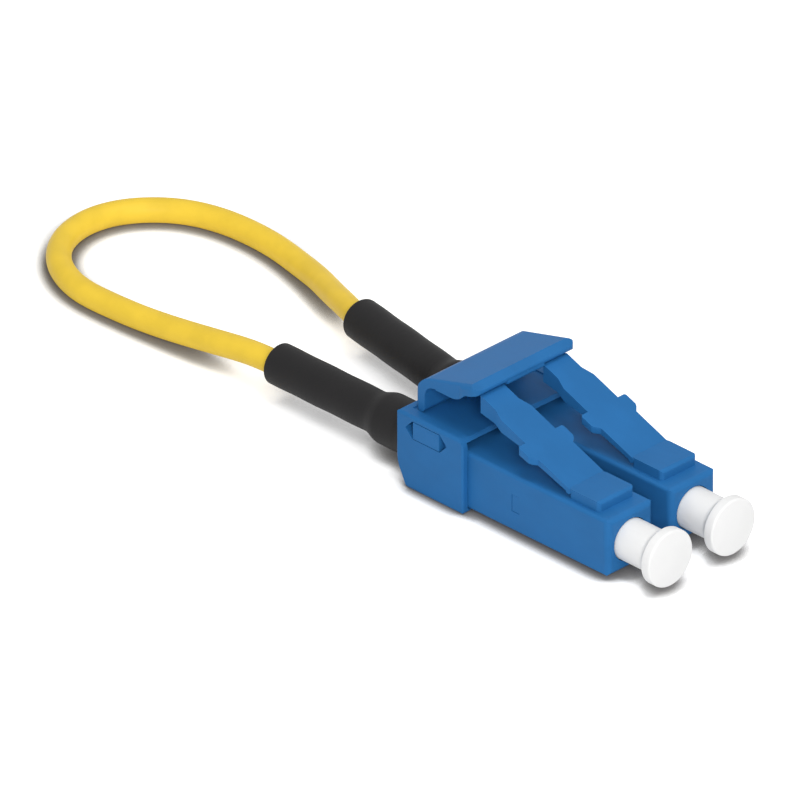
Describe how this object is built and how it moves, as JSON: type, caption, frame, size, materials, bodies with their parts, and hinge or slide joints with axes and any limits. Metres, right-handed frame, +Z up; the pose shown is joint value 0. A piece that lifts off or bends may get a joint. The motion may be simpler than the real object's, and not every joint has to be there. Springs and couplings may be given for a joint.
{
  "type": "fibre loopback plug",
  "caption": "Duplex fibre loopback plug: latched square plug bodies in a clip with a thumb trigger, dust caps, black shrink tubes and a short looped cord.",
  "frame": {"origin": "on the foot of the clip, at its centre: the clip's bottom face is z = 0, halfway along the clip and halfway between the two plugs", "axes": "+X along the plugs towards their noses, +Y towards the far plug, whose tube splays out, +Z up through the trigger"},
  "size_m": [0.0663, 0.0177, 0.01],
  "materials": {
    "plug_body": "satin moulded blue",
    "latch": "satin moulded blue",
    "clip": "satin moulded blue",
    "trigger": "satin moulded blue",
    "ferrule": "polished white ceramic",
    "flange": "satin plated metal",
    "spring": "drawn spring wire",
    "post": "satin moulded blue",
    "crimp": "plated crimp ring",
    "buffer": "buffer coat",
    "tube": "shrunk black tube",
    "cap": "soft white plastic",
    "cord": "smooth yellow jacket"
  },
  "bodies": {
    "plug_pair": {"housing_near": "plug_body", "housing_far": "plug_body", "duplex_clip": "clip", "back_post_near": "post", "back_post_far": "post", "crimp_ring_near": "crimp", "crimp_ring_far": "crimp", "buffer_near": "buffer", "buffer_far": "buffer", "shrink_tube_near": "tube", "shrink_tube_far": "tube", "spring_near": "spring", "spring_far": "spring", "loop_cord": "cord"},
    "trigger": {"trigger": "trigger"},
    "latch_near": {"latch_arm_near": "latch"},
    "latch_far": {"latch_arm_far": "latch"},
    "ferrule_near": {"ferrule_near": "ferrule", "ferrule_flange_near": "flange"},
    "ferrule_far": {"ferrule_far": "ferrule", "ferrule_flange_far": "flange"},
    "cap_near": {"dust_cap_near": "cap"},
    "cap_far": {"dust_cap_far": "cap"}
  },
  "joints": [
    {"name": "trigger_press", "type": "hinge", "parent": "plug_pair", "child": "trigger", "pos_m": [-0.00195, 0, 0.00637], "axis": [0, 1, 0], "range_deg": [0, 15], "stiffness_Nm_per_rad": 0.05, "springref_deg": -5.73},
    {"name": "latch_near_bend", "type": "hinge", "parent": "plug_pair", "child": "latch_near", "pos_m": [0.01269, -0.00313, 0.00539], "axis": [0, -1, 0], "range_deg": [0, 9.45], "stiffness_Nm_per_rad": 0.02, "springref_deg": -1.15},
    {"name": "latch_far_bend", "type": "hinge", "parent": "plug_pair", "child": "latch_far", "pos_m": [0.01269, 0.00313, 0.00539], "axis": [0, -1, 0], "range_deg": [0, 9.45], "stiffness_Nm_per_rad": 0.02, "springref_deg": -1.15},
    {"name": "ferrule_near_push", "type": "slide", "parent": "plug_pair", "child": "ferrule_near", "axis": [-1, 0, 0], "range_m": [0, 0.001], "stiffness_N_per_m": 1800, "springref_m": -0.002, "deforming": ["spring_near"]},
    {"name": "cap_near_pull", "type": "slide", "parent": "plug_pair", "child": "cap_near", "axis": [1, 0, 0], "range_m": [0, 0.008]},
    {"name": "ferrule_far_push", "type": "slide", "parent": "plug_pair", "child": "ferrule_far", "axis": [-1, 0, 0], "range_m": [0, 0.001], "stiffness_N_per_m": 1800, "springref_m": -0.002, "deforming": ["spring_far"]},
    {"name": "cap_far_pull", "type": "slide", "parent": "plug_pair", "child": "cap_far", "axis": [1, 0, 0], "range_m": [0, 0.008]}
  ],
  "couplings": [
    {"joint": "latch_near_bend", "follows": "trigger_press", "ratio": 0.63},
    {"joint": "latch_far_bend", "follows": "trigger_press", "ratio": 0.63}
  ]
}
